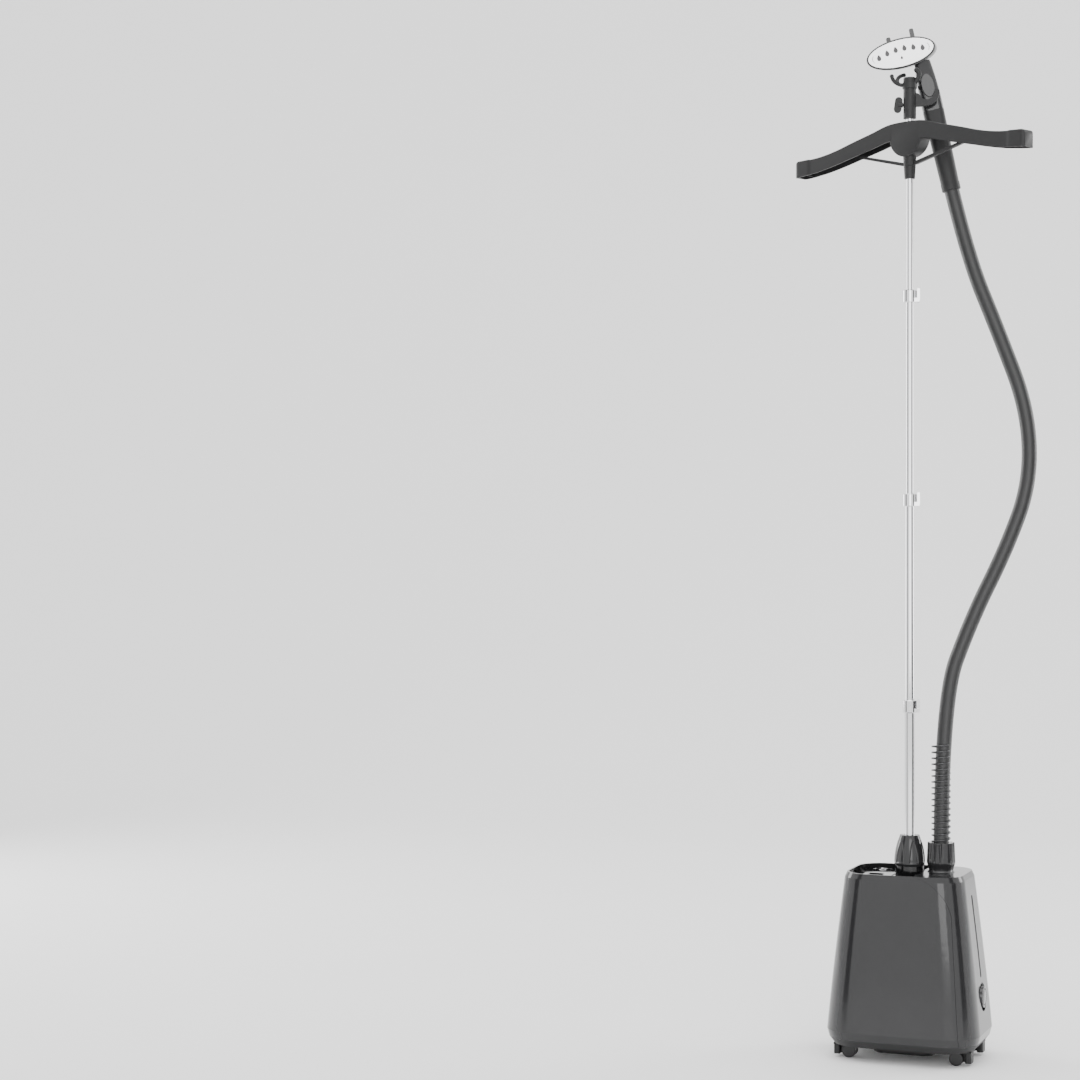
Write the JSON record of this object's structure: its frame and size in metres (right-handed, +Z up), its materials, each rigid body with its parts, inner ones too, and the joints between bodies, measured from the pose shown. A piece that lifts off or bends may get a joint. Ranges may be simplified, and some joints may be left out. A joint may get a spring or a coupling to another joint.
{
  "type": "garment steamer",
  "caption": "Upright garment steamer with a wheeled boiler base, a telescopic pole with a clothes hanger, and a steam head on a hose.",
  "frame": {"origin": "on the floor under the pole axis, in the middle of the base", "axes": "+Z up along the pole; -X towards the hose and the drain knob; +X towards the water tank; -Y towards the power button"},
  "size_m": [0.4206, 0.2146, 1.6277],
  "materials": {
    "shell_black": "glossy moulded",
    "deck_black": "deep gloss",
    "inner_grey": "plain moulded",
    "matte_grey": "fine matt",
    "chrome": "polished",
    "steel": "satin",
    "plate_silver": "polished",
    "hose_black": "satin braided sleeve",
    "tank_clear": "smoky clear plastic",
    "wheel_black": "smooth"
  },
  "bodies": {
    "base": {"chassis_skirt": "matte_grey", "sump_tray": "matte_grey", "main_shell": "shell_black", "spine_cover": "shell_black", "level_strip": "matte_grey", "top_deck": "deck_black", "button_ring": "chrome", "valve_seat": "inner_grey", "boiler": "steel", "thermostat": "inner_grey", "steam_pipe": "steel", "hose_connector": "inner_grey", "pole_well": "inner_grey", "drain_well": "inner_grey", "pole_tube_1": "chrome", "clip_body_1": "chrome", "steam_hose": "hose_black", "hose_spring": "steel"},
    "power_button": {"power_button": "deck_black"},
    "tank": {"water_tank": "tank_clear", "tank_lid": "deck_black", "tank_handle_bar": "deck_black", "tank_valve": "inner_grey"},
    "drain_knob": {"drain_knob": "shell_black"},
    "hose_nut": {"hose_nut": "shell_black"},
    "pole_collar": {"pole_collar": "shell_black"},
    "tube_2": {"pole_tube_2": "chrome", "clip_body_2": "chrome"},
    "tube_3": {"pole_tube_3": "chrome", "clip_body_3": "chrome"},
    "pole_top": {"pole_tube_4": "chrome", "hanger_collar": "matte_grey", "holder_sleeve": "matte_grey", "holder_fork": "matte_grey", "holder_hook": "matte_grey"},
    "hanger": {"hanger_hub": "matte_grey", "hanger_arm_near": "matte_grey", "hanger_arm_far": "matte_grey", "hanger_strut_near": "matte_grey", "hanger_strut_far": "matte_grey"},
    "wing_screw": {"wing_screw": "matte_grey"},
    "wand": {"head_shell": "shell_black", "steam_plate": "plate_silver", "handle_upper": "shell_black", "grip": "matte_grey", "grip_cuff": "matte_grey"},
    "trigger": {"trigger_panel": "shell_black"},
    "clip_lever_1": {"clip_lever_1": "chrome"},
    "clip_lever_2": {"clip_lever_2": "chrome"},
    "clip_lever_3": {"clip_lever_3": "chrome"},
    "caster_1": {"caster_hood_1": "matte_grey"},
    "wheels_1": {"caster_wheels_1": "wheel_black"},
    "caster_2": {"caster_hood_2": "matte_grey"},
    "wheels_2": {"caster_wheels_2": "wheel_black"},
    "caster_3": {"caster_hood_3": "matte_grey"},
    "wheels_3": {"caster_wheels_3": "wheel_black"},
    "caster_4": {"caster_hood_4": "matte_grey"},
    "wheels_4": {"caster_wheels_4": "wheel_black"}
  },
  "joints": [
    {"name": "pole_slide", "type": "slide", "parent": "base", "child": "pole_top", "axis": [0, 0, 1], "range_m": [-0.76, 0], "deforming": ["steam_hose"]},
    {"name": "tube_3_slide", "type": "slide", "parent": "base", "child": "tube_3", "axis": [0, 0, 1], "range_m": [-0.6, 0]},
    {"name": "tube_2_slide", "type": "slide", "parent": "base", "child": "tube_2", "axis": [0, 0, 1], "range_m": [-0.31, 0]},
    {"name": "clip_lever_1_turn", "type": "hinge", "parent": "base", "child": "clip_lever_1", "pos_m": [-0.01228, -0.00283, 0.545], "axis": [0.225, -0.9744, 0], "range_deg": [0, 90]},
    {"name": "clip_lever_2_turn", "type": "hinge", "parent": "tube_2", "child": "clip_lever_2", "pos_m": [-0.01228, -0.00283, 0.871], "axis": [0.225, -0.9744, 0], "range_deg": [0, 90]},
    {"name": "clip_lever_3_turn", "type": "hinge", "parent": "tube_3", "child": "clip_lever_3", "pos_m": [-0.01228, -0.00283, 1.193], "axis": [0.225, -0.9744, 0], "range_deg": [0, 90]},
    {"name": "hanger_turn", "type": "hinge", "parent": "pole_top", "child": "hanger", "pos_m": [0, 0, 1.443], "axis": [0, 0, 1], "range_deg": [-45, 30]},
    {"name": "wing_screw_turn", "type": "hinge", "parent": "pole_top", "child": "wing_screw", "pos_m": [0.01754, 0.00405, 1.502], "axis": [0.9744, 0.225, 0], "continuous": true},
    {"name": "wand_lift", "type": "slide", "parent": "pole_top", "child": "wand", "axis": [0.2142, 0.0495, 0.9755], "range_m": [0, 0.04]},
    {"name": "trigger_press", "type": "slide", "parent": "wand", "child": "trigger", "axis": [0.225, -0.9744, 0], "range_m": [0, 0.0012], "stiffness_N_per_m": 500, "springref_m": -0.001},
    {"name": "tank_lift", "type": "slide", "parent": "base", "child": "tank", "axis": [0, 0, 1], "range_m": [0, 0.24]},
    {"name": "power_press", "type": "slide", "parent": "base", "child": "power_button", "axis": [0, 0, -1], "range_m": [0, 0.0025], "stiffness_N_per_m": 600, "springref_m": -0.001},
    {"name": "drain_knob_turn", "type": "hinge", "parent": "base", "child": "drain_knob", "pos_m": [-0.108, 0, 0.1], "axis": [1, 0, 0], "continuous": true},
    {"name": "hose_nut_turn", "type": "hinge", "parent": "base", "child": "hose_nut", "pos_m": [-0.05, 0, 0.317], "axis": [0, 0, 1], "continuous": true},
    {"name": "pole_collar_turn", "type": "hinge", "parent": "base", "child": "pole_collar", "pos_m": [0, 0, 0.32], "axis": [0, 0, 1], "continuous": true},
    {"name": "caster_1_swivel", "type": "hinge", "parent": "base", "child": "caster_1", "pos_m": [-0.095, -0.045, 0.03], "axis": [0, 0, 1], "continuous": true},
    {"name": "wheels_1_roll", "type": "hinge", "parent": "caster_1", "child": "wheels_1", "pos_m": [-0.085, -0.045, 0.011], "axis": [0, 1, 0], "continuous": true},
    {"name": "caster_2_swivel", "type": "hinge", "parent": "base", "child": "caster_2", "pos_m": [0.095, -0.045, 0.03], "axis": [0, 0, 1], "continuous": true},
    {"name": "wheels_2_roll", "type": "hinge", "parent": "caster_2", "child": "wheels_2", "pos_m": [0.085, -0.045, 0.011], "axis": [0, 1, 0], "continuous": true},
    {"name": "caster_3_swivel", "type": "hinge", "parent": "base", "child": "caster_3", "pos_m": [0.095, 0.045, 0.03], "axis": [0, 0, 1], "continuous": true},
    {"name": "wheels_3_roll", "type": "hinge", "parent": "caster_3", "child": "wheels_3", "pos_m": [0.085, 0.045, 0.011], "axis": [0, 1, 0], "continuous": true},
    {"name": "caster_4_swivel", "type": "hinge", "parent": "base", "child": "caster_4", "pos_m": [-0.095, 0.045, 0.03], "axis": [0, 0, 1], "continuous": true},
    {"name": "wheels_4_roll", "type": "hinge", "parent": "caster_4", "child": "wheels_4", "pos_m": [-0.085, 0.045, 0.011], "axis": [0, 1, 0], "continuous": true}
  ],
  "couplings": [
    {"joint": "tube_3_slide", "follows": "pole_slide", "ratio": 0.783},
    {"joint": "tube_2_slide", "follows": "pole_slide", "ratio": 0.392}
  ]
}
